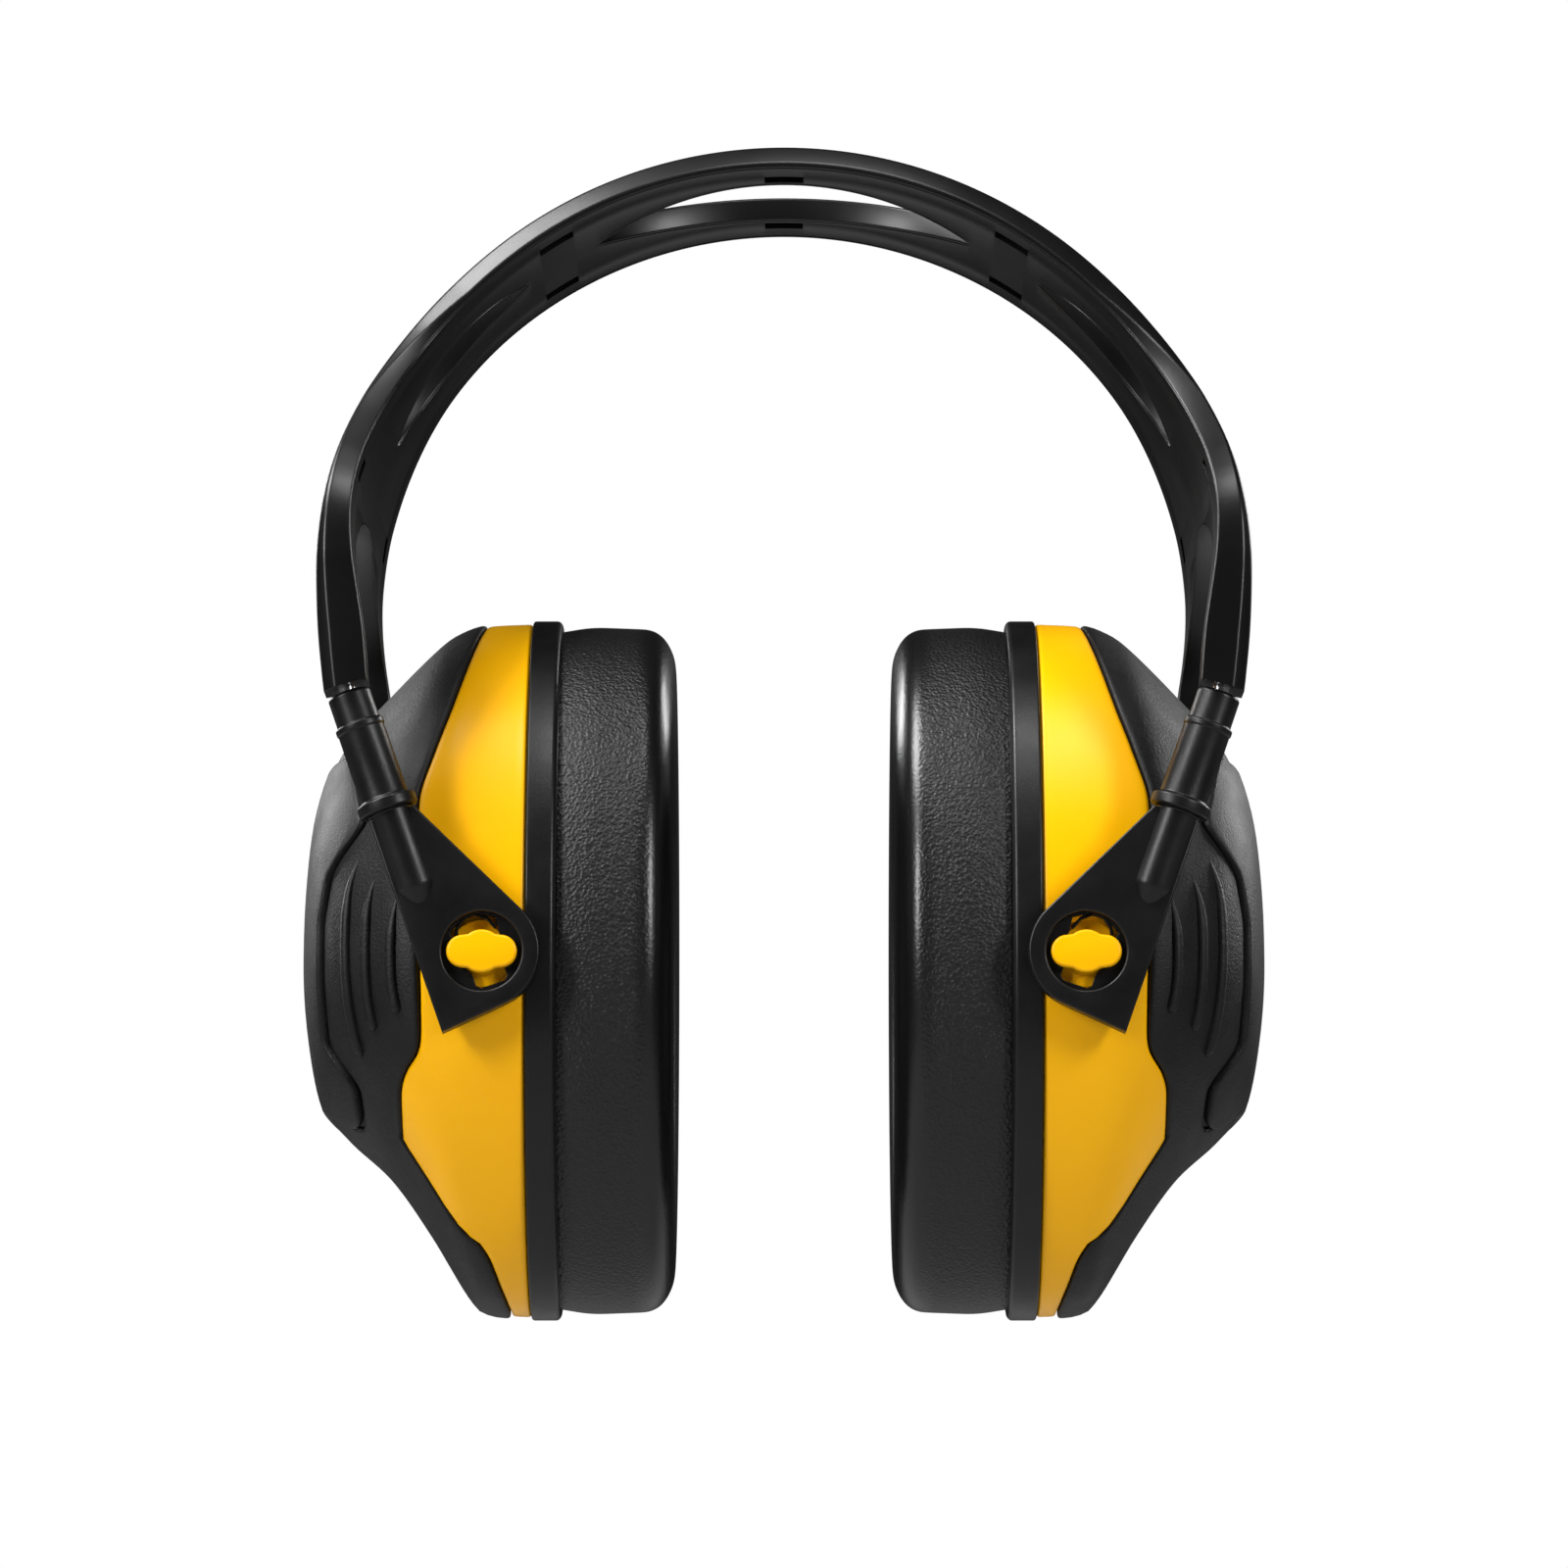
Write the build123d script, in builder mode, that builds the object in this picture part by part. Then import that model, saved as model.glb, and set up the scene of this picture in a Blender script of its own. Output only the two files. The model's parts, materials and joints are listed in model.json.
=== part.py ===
"""Earmuff hearing protector: a forked plastic headband, four wire-guided arms and two ear cups.

Frame: X runs from ear to ear, -Y is the front, Z is up. The origin is halfway between the two
cushions, at the height of the cups' pivots. Right-hand pieces (+X) are modelled and mirrored.
"""

import os
from math import cos, radians, sin, sqrt

from build123d import *

# Head and cup layout along X
EAR_GAP = 33.2  # between the two cushions' faces, headband relaxed
CUSHION_DEPTH = 18.4
RING_DEPTH = 4.7
SHELL_DEPTH = 35.2
BACKING_THICK = 1.6

# Cup seen along X
CUP_HALF_HEIGHT = 55.0
CUP_HALF_WIDTH = 42.0
CUP_Z = 2.8  # height of the cup's middle above the pivots
RING_LIP = 0.4  # how far the base ring stands proud of the shell
RING_HOLE_HALF = (28.0, 40.0)
EAR_HOLE_HALF = (21.0, 31.0)
CUSHION_INSET = 0.8  # how far the cushion stays inside the base ring
CUSHION_OUTER_ROUND = 7.5
CUSHION_INNER_ROUND = 5.0
SKIN_THICK = 1.2
SHELL_WALL = 2.6
OVERMOULD_THICK = 1.2
PANEL_RAISE = 0.8
FOAM_GAP = 0.8

# Pivots
PIVOT_X = 46.0
STUD_INNER_Y = 38.0
STUD_DISC_Y = 41.3
STUD_SHANK_R = 3.5
STUD_DISC_R = 5.2
STUD_CAP_WIDTH = 10.6
STUD_CAP_HEIGHT = 6.6
STUD_LOBE_HEIGHT = 5.0
STUD_LOBE_ROUND = 2.3
STUD_CAP_THICK = 1.6
SIDE_GAP = 0.1  # between the plate's web and the stud's disc and cap
RUNNING_GAP = 0.05  # radial clearance of the pivot necks and of the wires
KEY_GAP = 0.3  # all round the cap as it passes the keyed hole
STUD_NECK_R = STUD_CAP_HEIGHT / 2 + KEY_GAP - RUNNING_GAP

# Arms: a flat plate with a round end, and a stepped rod along its outer edge
ARM_TILT = 19.3  # from the vertical, in the XZ plane
ARM_OFFSET = 6.3  # from the pivot to the rod's axis
ARM_Y = 44.4  # the rods' axes and the wires
PLATE_IN_Y = 43.0
PLATE_THICK = 3.4
PLATE_ROUND_R = 8.8
PLATE_HOLE_R = 6.1
PLATE_WEB = 1.4
PLATE_EDGE = 9.7  # from the pivot to the plate's straight outer edge
PLATE_BOTTOM = 9.8
PLATE_TOP = 24.8
PLATE_TOP_WIDTH = 7.2
ROD_NOSE_AT = 8.6
ROD_BODY_AT = 12.6
ROD_RING_AT = 25.1
ROD_RING_THICK = 2.0
ROD_LIP_AT = 38.6
ROD_LIP_THICK = 0.8
ROD_TOP_AT = 44.5
ROD_LOWER_R = 3.4
ROD_RING_R = 4.65
ROD_MIDDLE_R = 3.65
ROD_LIP_R = 3.8
ROD_UPPER_R = 3.35

# Guide wires
WIRE_R = 1.25
WIRE_IN_ARM = 14.0
WIRE_BEND_AT = 45.2
WIRE_BEND_R = 3.0
WIRE_TILT = 3.0
WIRE_STRAIGHT = 28.6
BORE_DEPTH = 29.9  # from the wire's bend to the blind end of its hole
BORE_BELOW = 2.0  # how far the hole is cut below the bend, out past the leg's slanted end
MOUTH_R = 1.75  # the hole's wider mouth, which clears the bend
MOUTH_DEPTH = 1.2  # from the bend up

# Headband
BAND_R = 71.6
BAND_ARC_Z = 58.9
BAND_THICK = 3.7
BAND_HALF_WIDTH = 25.2  # front to back, at the crown
FORK_HALF_WIDTH = 48.9
FORK_LEG_WIDTH = 9.0
FORK_CROTCH_Z = 73.5
LEG_END_OUTER = (70.3, 39.8)
LEG_END_INNER = (63.6, 41.3)
CROWN_SLOT_HALF = (12.3, 31.5)  # half width, half length
SIDE_SLOT_HALF = (7.0, 17.6)
SIDE_SLOT_TURN = 51.0  # from the crown, about the arc's centre

# Planes across the cup, counted outwards
CUSHION_X = EAR_GAP / 2
BACKING_X = CUSHION_X + CUSHION_DEPTH - BACKING_THICK
RING_X = CUSHION_X + CUSHION_DEPTH
SHELL_X = RING_X + RING_DEPTH

# The shell's sections: depth from the rim, reach above and below the cup's middle, half width
SHELL_SECTIONS = [
    (0.0, 55.0, 55.0, 42.0),
    (6.0, 54.8, 54.5, 41.8),
    (11.0, 53.4, 49.8, 41.3),
    (15.0, 50.3, 43.2, 40.6),
    (20.0, 45.4, 35.9, 39.0),
    (25.0, 40.0, 30.3, 34.8),
    (29.5, 34.8, 26.2, 30.2),
    (32.7, 27.0, 20.6, 24.2),
    (34.5, 18.6, 14.2, 16.6),
    (35.2, 10.0, 7.6, 9.0),
]
# Where the black overmould starts: depth from the rim, height from the cup's middle
OVERMOULD_EDGE = [
    (7.0, 60.0),
    (7.0, 54.7),
    (11.6, 38.0),
    (16.6, 22.5),
    (15.8, -15.5),
    (19.2, -21.5),
    (19.3, -31.0),
    (15.7, -36.2),
    (9.2, -43.2),
    (6.0, -47.2),
    (2.8, -54.0),
    (2.8, -60.0),
]
# The raised outer panel: wide at its top and bottom, narrow between
PANEL_EDGE = [
    (32.2, 30.3),
    (27.6, 31.0),
    (25.1, 20.3),
    (25.1, 17.6),
    (30.2, 12.3),
    (31.6, 3.9),
    (31.6, -4.9),
    (31.0, -13.8),
    (30.2, -15.6),
    (26.4, -20.7),
    (25.9, -25.6),
    (26.8, -26.6),
    (34.5, -20.9),
]

BEYOND = 80.0  # past every face that a cut must clear


def save(part, name):
    """Label a piece and write it to its own STEP file."""
    part.label = name
    export_step(part, f"parts/{name}.step")


def save_both_sides(part, name):
    """Write a right-hand piece and its mirror image on the left."""
    save(mirror(part, about=Plane.YZ), f"left_{name}")
    save(part, f"right_{name}")


def save_all_four(part, name):
    """Write a right-hand front piece, its rear twin and both of their left-hand images."""
    save_both_sides(part, f"front_{name}")
    save_both_sides(mirror(part, about=Plane.XZ), f"rear_{name}")


def cup_dome(shrink):
    """The shell's dome in straight-sided bands, drawn in by shrink on its sides and at its outer end."""
    side = 1.35 * shrink  # most of the wall leans, so its sides move in further
    with BuildPart() as dome:
        for depth, top, bottom, half_width in SHELL_SECTIONS:
            x = SHELL_X + depth * (SHELL_DEPTH - shrink) / SHELL_DEPTH
            with BuildSketch(Plane.YZ.offset(x)):
                with Locations((0, CUP_Z + (top - bottom) / 2)):
                    Ellipse(half_width - side, (top + bottom) / 2 - side)
        loft(ruled=True)
    return dome.part


def side_view_prism(edge):
    """Everything outside an edge drawn in the side view, from front to back."""
    points = [(SHELL_X + depth, CUP_Z + height) for depth, height in edge]
    outline = [(BEYOND, points[0][1])] + points + [(BEYOND, points[-1][1])]
    with BuildPart() as prism:
        with BuildSketch(Plane.XZ):
            with BuildLine():
                Polyline(*outline, close=True)
            make_face()
        extrude(amount=BEYOND, both=True)
    return prism.part


def oval_ring(x_from, x_to, outer, inner):
    """A flat oval ring between two planes across X."""
    with BuildPart() as ring:
        with BuildSketch(Plane.YZ.offset(x_from)):
            with Locations((0, CUP_Z)):
                Ellipse(*outer)
                Ellipse(*inner, mode=Mode.SUBTRACT)
        extrude(amount=x_to - x_from)
    return ring.part


os.makedirs("parts", exist_ok=True)

# ---------------------------------------------------------------- pivot studs
FRONT = Plane(origin=(PIVOT_X, 0, 0), x_dir=(1, 0, 0), z_dir=(0, -1, 0))
WEB_OUT_Y = PLATE_IN_Y + PLATE_WEB


def bow_tie(gap=0.0, turn=0.0):
    """The stud cap's outline: two side lobes and a bulge in the middle, drawn in a sketch."""
    lobes = (STUD_CAP_WIDTH + 2 * gap, STUD_LOBE_HEIGHT + 2 * gap)
    RectangleRounded(*lobes, STUD_LOBE_ROUND, rotation=turn)
    Circle(STUD_CAP_HEIGHT / 2 + gap)


with BuildPart() as stud:
    with BuildSketch(FRONT.offset(STUD_INNER_Y)):
        Circle(STUD_SHANK_R)
    extrude(amount=STUD_DISC_Y - STUD_INNER_Y)
    with BuildSketch(FRONT.offset(STUD_DISC_Y)):
        Circle(STUD_DISC_R)
    extrude(amount=PLATE_IN_Y - SIDE_GAP - STUD_DISC_Y)
    with BuildSketch(FRONT.offset(PLATE_IN_Y - SIDE_GAP)):
        Circle(STUD_NECK_R)
    extrude(amount=PLATE_WEB + 2 * SIDE_GAP)
    with BuildSketch(FRONT.offset(WEB_OUT_Y + SIDE_GAP)):
        bow_tie()
    extrude(amount=STUD_CAP_THICK)
save_all_four(stud.part, "pivot_stud")

# ---------------------------------------------------------------- cups
outer_dome = cup_dome(0.0)
under_skin = cup_dome(OVERMOULD_THICK)
hollow = cup_dome(SHELL_WALL)
liner_dome = cup_dome(SHELL_WALL + FOAM_GAP)
panel_dome = cup_dome(-PANEL_RAISE)
overmould_side = side_view_prism(OVERMOULD_EDGE)
panel_side = side_view_prism(PANEL_EDGE)

with BuildPart() as cup_shell:
    add(outer_dome)
    add(overmould_side, mode=Mode.SUBTRACT)
    add(under_skin)
    add(hollow, mode=Mode.SUBTRACT)
    add(stud.part, mode=Mode.SUBTRACT)
    add(mirror(stud.part, about=Plane.XZ), mode=Mode.SUBTRACT)
save_both_sides(cup_shell.part, "cup_shell")

with BuildPart() as overmould:
    add(outer_dome)
    add(overmould_side, mode=Mode.INTERSECT)
    add(under_skin, mode=Mode.SUBTRACT)
save_both_sides(overmould.part, "overmould")

with BuildPart() as outer_panel:
    add(panel_dome)
    add(panel_side, mode=Mode.INTERSECT)
    add(outer_dome, mode=Mode.SUBTRACT)
save_both_sides(outer_panel.part, "outer_panel")

with BuildPart() as foam_liner:
    add(liner_dome)
    with BuildSketch(Plane.YZ.offset(SHELL_X - 1)):
        Rectangle(4 * BEYOND, 4 * BEYOND)
    extrude(amount=1 + FOAM_GAP, mode=Mode.SUBTRACT)
save_both_sides(foam_liner.part, "foam_liner")

RING_HALF = (CUP_HALF_WIDTH + RING_LIP, CUP_HALF_HEIGHT + RING_LIP)
base_ring = oval_ring(RING_X, SHELL_X, RING_HALF, RING_HOLE_HALF)
save_both_sides(base_ring, "base_ring")

# ---------------------------------------------------------------- cushions
CUSHION_HALF = (RING_HALF[0] - CUSHION_INSET, RING_HALF[1] - CUSHION_INSET)


def cushion_body(shrink):
    """The cushion's outer form, drawn in by shrink all round except at its back."""
    front_x = CUSHION_X + shrink
    with BuildPart() as body:
        with BuildSketch(Plane.YZ.offset(front_x)):
            with Locations((0, CUP_Z)):
                Ellipse(CUSHION_HALF[0] - shrink, CUSHION_HALF[1] - shrink)
        extrude(amount=BACKING_X - front_x)
        fillet(body.faces().sort_by(Axis.X)[0].edges(), CUSHION_OUTER_ROUND - shrink)
        with BuildSketch(Plane.YZ.offset(front_x)):
            with Locations((0, CUP_Z)):
                Ellipse(EAR_HOLE_HALF[0] + shrink, EAR_HOLE_HALF[1] + shrink)
        extrude(amount=BACKING_X - front_x, mode=Mode.SUBTRACT)
        rim = body.faces().sort_by(Axis.X)[0].edges().sort_by(SortBy.LENGTH)[0]
        fillet(rim, CUSHION_INNER_ROUND - shrink)
    return body.part


with BuildPart() as cushion_foam:
    add(cushion_body(SKIN_THICK))
save_both_sides(cushion_foam.part, "cushion_foam")

with BuildPart() as cushion_skin:
    add(cushion_body(0.0))
    add(cushion_foam.part, mode=Mode.SUBTRACT)
save_both_sides(cushion_skin.part, "cushion_skin")

with BuildPart() as cushion_backing:
    plate_outer = (CUSHION_HALF[0] - 1.0, CUSHION_HALF[1] - 1.0)
    collar_outer = (RING_HOLE_HALF[0] - 0.1, RING_HOLE_HALF[1] - 0.1)
    collar_inner = (RING_HOLE_HALF[0] - 1.9, RING_HOLE_HALF[1] - 1.9)
    add(oval_ring(BACKING_X, RING_X, plate_outer, collar_inner))
    add(oval_ring(RING_X, RING_X + 3.0, collar_outer, collar_inner))
save_both_sides(cushion_backing.part, "cushion_backing")

# ---------------------------------------------------------------- arms and wires
TILT_SIN = sin(radians(ARM_TILT))
TILT_COS = cos(radians(ARM_TILT))
ARM = Plane(origin=(PIVOT_X, 0, 0), x_dir=(TILT_COS, 0, -TILT_SIN), z_dir=(0, -1, 0))
ROD = ARM.offset(ARM_Y)
ROD_FOOT = ROD.from_local_coords(Vector(ARM_OFFSET, 0, 0))
ROD_UP = Vector(TILT_SIN, 0, TILT_COS)
ROD_AXIS = Axis(ROD_FOOT, ROD_UP)

bend = ROD_FOOT + ROD_UP * WIRE_BEND_AT
wire_up = Vector(sin(radians(WIRE_TILT)), 0, cos(radians(WIRE_TILT)))
wire_foot = ROD_FOOT + ROD_UP * (ROD_TOP_AT - WIRE_IN_ARM)
wire_tip = bend + wire_up * WIRE_STRAIGHT

with BuildPart() as wire:
    with BuildLine():
        FilletPolyline(wire_foot, bend, wire_tip, radius=WIRE_BEND_R)
    with BuildSketch(Plane(origin=wire_foot, z_dir=ROD_UP)):
        Circle(WIRE_R)
    sweep()
save_all_four(wire.part, "guide_wire")

ROD_STEPS = [
    (ROD_BODY_AT, ROD_RING_AT, ROD_LOWER_R),
    (ROD_RING_AT, ROD_RING_AT + ROD_RING_THICK, ROD_RING_R),
    (ROD_RING_AT + ROD_RING_THICK, ROD_LIP_AT, ROD_MIDDLE_R),
    (ROD_LIP_AT, ROD_LIP_AT + ROD_LIP_THICK, ROD_LIP_R),
    (ROD_LIP_AT + ROD_LIP_THICK, ROD_TOP_AT, ROD_UPPER_R),
]

with BuildPart() as arm:
    # the plate, its edges tangent to the round end
    with BuildSketch(ARM.offset(PLATE_IN_Y)):
        with BuildLine():
            CenterArc((0, 0), PLATE_ROUND_R, 0, 360)
            Polyline(
                (PLATE_EDGE, -PLATE_BOTTOM),
                (PLATE_EDGE, PLATE_TOP),
                (PLATE_EDGE - PLATE_TOP_WIDTH, PLATE_TOP),
            )
        make_hull()
    extrude(amount=PLATE_THICK)
    # the rod: a bevelled nose on the plate, then the stepped sleeve
    with BuildSketch(ROD):
        with BuildLine():
            radii = [(ROD_NOSE_AT, 0.6)]
            for start, end, radius in ROD_STEPS:
                radii += [(start, radius), (end, radius)]
            profile = [(ARM_OFFSET + radius, along) for along, radius in radii]
            Polyline((ARM_OFFSET, ROD_NOSE_AT), *profile, (ARM_OFFSET, ROD_TOP_AT), close=True)
        make_face()
    revolve(axis=ROD_AXIS)
    # the counterbore, and the keyed hole in the web that is left
    with BuildSketch(ARM.offset(WEB_OUT_Y)):
        Circle(PLATE_HOLE_R)
    extrude(amount=PLATE_THICK, mode=Mode.SUBTRACT)
    with BuildSketch(ARM.offset(PLATE_IN_Y - 1)):
        bow_tie(KEY_GAP, turn=90)
    extrude(amount=PLATE_THICK, mode=Mode.SUBTRACT)
    add(wire.part, mode=Mode.SUBTRACT)
save_all_four(arm.part, "arm")

# ---------------------------------------------------------------- headband
INNER_R = BAND_R - BAND_THICK
INNER_LEAVES = 21.5  # above the arc's centre, where the inner line starts its own curve
SLOTS = [
    (-SIDE_SLOT_TURN, SIDE_SLOT_HALF),
    (0.0, CROWN_SLOT_HALF),
    (SIDE_SLOT_TURN, SIDE_SLOT_HALF),
]


def on_inner_arc(height):
    """The point of the inner arc at a height above the arc's centre."""
    return (sqrt(INNER_R**2 - height**2), BAND_ARC_Z + height)


with BuildPart() as headband:
    # the side profile: a thin arc that thickens down its legs
    with BuildSketch(Plane.XZ):
        with BuildLine():
            CenterArc((0, BAND_ARC_Z), BAND_R, 0, 90)
            TangentArc((BAND_R, BAND_ARC_Z), LEG_END_OUTER, tangent=(0, -1))
            Line(LEG_END_OUTER, LEG_END_INNER)
            leave = on_inner_arc(INNER_LEAVES)
            Spline(LEG_END_INNER, (64.3, 49.0), (65.9, 59.5), (66.45, 69.0), leave)
            crown = (0, BAND_ARC_Z + INNER_R)
            ThreePointArc(leave, on_inner_arc(INNER_R * 0.8), crown)
            mirror(about=Plane.YZ)
        make_face()
    extrude(amount=FORK_HALF_WIDTH, both=True)
    # the width: narrow over the crown, spreading to the fork
    with BuildSketch(Plane.YZ):
        with BuildLine():
            top = BAND_ARC_Z + BAND_R + 1
            shoulder = (BAND_HALF_WIDTH, 118.0)
            leg_top = (FORK_HALF_WIDTH, 62.0)
            foot = (FORK_HALF_WIDTH, 38.0)
            Polyline((0, top), (BAND_HALF_WIDTH, top), shoulder)
            flare = [(27.0, 102.5), (31.6, 93.5), (46.4, 73.0)]
            Spline(shoulder, *flare, leg_top, tangents=((0, -1), (0, -1)))
            inner_y = FORK_HALF_WIDTH - FORK_LEG_WIDTH
            crotch = (0, FORK_CROTCH_Z)
            Polyline(leg_top, foot, (inner_y, foot[1]), (inner_y, 50.0))
            Spline((inner_y, 50.0), (36.5, 62.0), crotch, tangents=((0, 1), (-1, 0.15)))
            mirror(about=Plane.YZ)
        make_face()
    extrude(amount=BEYOND, both=True, mode=Mode.INTERSECT)
    # the crown slot and the two side slots, lens-shaped, cut straight in
    for turn, (half_width, half_length) in SLOTS:
        inwards = Vector(sin(radians(turn)), 0, cos(radians(turn)))
        with BuildSketch(Plane(origin=(0, 0, BAND_ARC_Z), x_dir=(0, 1, 0), z_dir=inwards)):
            with BuildLine():
                ThreePointArc((0, -half_length), (half_width, 0), (0, half_length))
                ThreePointArc((0, half_length), (-half_width, 0), (0, -half_length))
            make_face()
        extrude(amount=BEYOND, mode=Mode.SUBTRACT)
    # the wires' blind holes up the four legs, each with a wider mouth
    for side in (-1, 1):
        for front in (-1, 1):
            up = Vector(side * wire_up.X, 0, wire_up.Z)
            foot = Vector(side * bend.X, front * ARM_Y, bend.Z) - up * BORE_BELOW
            for radius, depth in ((WIRE_R + RUNNING_GAP, BORE_DEPTH), (MOUTH_R, MOUTH_DEPTH)):
                with BuildSketch(Plane(origin=foot, z_dir=up)):
                    Circle(radius)
                extrude(amount=BORE_BELOW + depth, mode=Mode.SUBTRACT)
save(headband.part, "headband")
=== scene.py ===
"""Earmuff hearing protector: the visual model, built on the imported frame.

X runs from ear to ear, -Y is the front, Z is up. The right-hand pieces are shaped here in
millimetres and mirrored to the left, and the front arms and studs are mirrored to the rear.
"""

import json
from math import acos, asin, cos, degrees, pi, radians, sin, sqrt

import bmesh
import bpy
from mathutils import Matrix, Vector


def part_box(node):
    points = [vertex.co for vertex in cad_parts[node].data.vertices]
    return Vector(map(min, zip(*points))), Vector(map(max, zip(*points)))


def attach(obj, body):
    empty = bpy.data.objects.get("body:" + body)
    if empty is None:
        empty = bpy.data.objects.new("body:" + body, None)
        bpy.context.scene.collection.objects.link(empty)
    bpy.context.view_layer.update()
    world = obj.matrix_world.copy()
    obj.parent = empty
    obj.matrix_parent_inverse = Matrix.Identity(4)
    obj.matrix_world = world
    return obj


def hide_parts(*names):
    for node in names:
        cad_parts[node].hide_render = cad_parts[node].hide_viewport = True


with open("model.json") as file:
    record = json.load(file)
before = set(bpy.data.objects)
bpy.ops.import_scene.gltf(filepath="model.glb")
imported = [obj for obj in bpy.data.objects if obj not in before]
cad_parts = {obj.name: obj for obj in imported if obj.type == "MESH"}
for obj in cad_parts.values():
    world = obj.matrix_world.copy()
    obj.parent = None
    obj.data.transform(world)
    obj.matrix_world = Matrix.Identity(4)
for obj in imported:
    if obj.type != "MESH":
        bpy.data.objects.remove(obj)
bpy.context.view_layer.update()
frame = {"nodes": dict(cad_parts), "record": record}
MM = 0.001


def node_box(node):
    """A CAD node's lowest and highest corners in millimetres."""
    low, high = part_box(node)
    return [v / MM for v in low], [v / MM for v in high]


# ------------------------------------------------------------------ sizes read from the frame
RING_LOW, RING_HIGH = node_box("right_base_ring")
SHELL_HIGH = node_box("right_cup_shell")[1]
SKIN_LOW, SKIN_HIGH = node_box("right_cushion_skin")
STUD_LOW, STUD_HIGH = node_box("right_front_pivot_stud")
BAND_HIGH = node_box("headband")[1]

RIM_X = RING_HIGH[0]  # where the shell meets the base ring
CUP_Z = (RING_LOW[2] + RING_HIGH[2]) / 2
RING_HALF = (RING_HIGH[1], (RING_HIGH[2] - RING_LOW[2]) / 2)
PIVOT_X = (STUD_LOW[0] + STUD_HIGH[0]) / 2
PIVOT_Z = (STUD_LOW[2] + STUD_HIGH[2]) / 2
BAND_R = BAND_HIGH[0]
BAND_Z = BAND_HIGH[2] - BAND_R
LEG_HALF_WIDTH = BAND_HIGH[1]

# ------------------------------------------------------------------ materials


def new_material(name, color, roughness, **sockets):
    """A Principled material; constants sit on the shader's own sockets."""
    material = bpy.data.materials.new(name)
    material.use_nodes = True
    shader = material.node_tree.nodes["Principled BSDF"]
    shader.inputs["Base Color"].default_value = (*color, 1.0)
    shader.inputs["Roughness"].default_value = roughness
    for socket, value in sockets.items():
        shader.inputs[socket.replace("_", " ")].default_value = value
    return material


def add_node(material, kind, **settings):
    """One shader node, its properties and its unlinked inputs set by name."""
    node = material.node_tree.nodes.new(kind)
    for key, value in settings.items():
        if hasattr(node, key):
            setattr(node, key, value)
        else:
            node.inputs[key.replace("_", " ")].default_value = value
    return node


def link(material, from_node, output, to_node, socket):
    """Link one node's output to another's input."""
    material.node_tree.links.new(from_node.outputs[output], to_node.inputs[socket])


def object_noise(material, scale, detail=4.0, stretch=(1, 1, 1)):
    """Noise over object coordinates, scale in features per metre."""
    coords = add_node(material, "ShaderNodeTexCoord")
    mapping = add_node(material, "ShaderNodeMapping", Scale=stretch)
    texture = add_node(material, "ShaderNodeTexNoise", Scale=scale, Detail=detail)
    link(material, coords, "Object", mapping, "Vector")
    link(material, mapping, "Vector", texture, "Vector")
    return texture


def vary_roughness(material, scale, low, high, detail=4.0):
    """Roughness that drifts between two values, as handling and moulding leave it."""
    texture = object_noise(material, scale, detail)
    spread = add_node(material, "ShaderNodeMapRange", From_Min=0.3, From_Max=0.7, To_Min=low, To_Max=high)
    link(material, texture, "Fac", spread, "Value")
    link(material, spread, "Result", material.node_tree.nodes["Principled BSDF"], "Roughness")


def vary_color(material, dark, light, scale):
    """Colour that drifts slightly between two tones."""
    texture = object_noise(material, scale, 3.0)
    ramp = add_node(material, "ShaderNodeValToRGB")
    ramp.color_ramp.elements[0].position = 0.3
    ramp.color_ramp.elements[0].color = (*dark, 1.0)
    ramp.color_ramp.elements[1].position = 0.7
    ramp.color_ramp.elements[1].color = (*light, 1.0)
    link(material, texture, "Fac", ramp, "Fac")
    link(material, ramp, "Color", material.node_tree.nodes["Principled BSDF"], "Base Color")


def add_bump(material, height_node, output, depth_mm, strength=1.0):
    """Bump from a height texture, its depth in millimetres."""
    bump = add_node(material, "ShaderNodeBump", Strength=strength, Distance=depth_mm * MM)
    link(material, height_node, output, bump, "Height")
    link(material, bump, "Normal", material.node_tree.nodes["Principled BSDF"], "Normal")


def moulded_black():
    """Glossier black of the headband: smooth, with faint flow marks."""
    material = new_material("band_black", (0.003, 0.003, 0.0032), 0.28, Specular_IOR_Level=0.36)
    vary_color(material, (0.0022, 0.0022, 0.0023), (0.0035, 0.0034, 0.0036), 60)
    vary_roughness(material, 90, 0.29, 0.33)
    add_bump(material, object_noise(material, 900, 2.0), "Fac", 0.004)
    return material


def satin_black():
    """Spark-eroded satin black of the arms, rings and backings."""
    material = new_material("satin_black", (0.004, 0.004, 0.0043), 0.36, Specular_IOR_Level=0.32)
    vary_color(material, (0.003, 0.003, 0.0032), (0.0045, 0.0045, 0.0048), 120)
    vary_roughness(material, 150, 0.33, 0.42)
    add_bump(material, object_noise(material, 2600, 3.0), "Fac", 0.02)
    return material


def grained_overmould():
    """Matte rubber-like black with a fine moulded grain."""
    material = new_material("overmould_black", (0.004, 0.004, 0.0043), 0.46, Specular_IOR_Level=0.28)
    vary_color(material, (0.0035, 0.0035, 0.0036), (0.0055, 0.0055, 0.0057), 200)
    vary_roughness(material, 160, 0.46, 0.56)
    grain = object_noise(material, 2300, 6.0)
    add_bump(material, grain, "Fac", 0.10)
    return material


def yellow_plastic():
    """Glossy signal-yellow moulding."""
    material = new_material("shell_yellow", (1.0, 0.48, 0.0), 0.28, Specular_IOR_Level=0.22)
    vary_color(material, (0.98, 0.465, 0.0), (1.0, 0.495, 0.0), 45)
    vary_roughness(material, 70, 0.27, 0.36)
    add_bump(material, object_noise(material, 700, 4.0), "Fac", 0.01)
    return material


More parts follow.
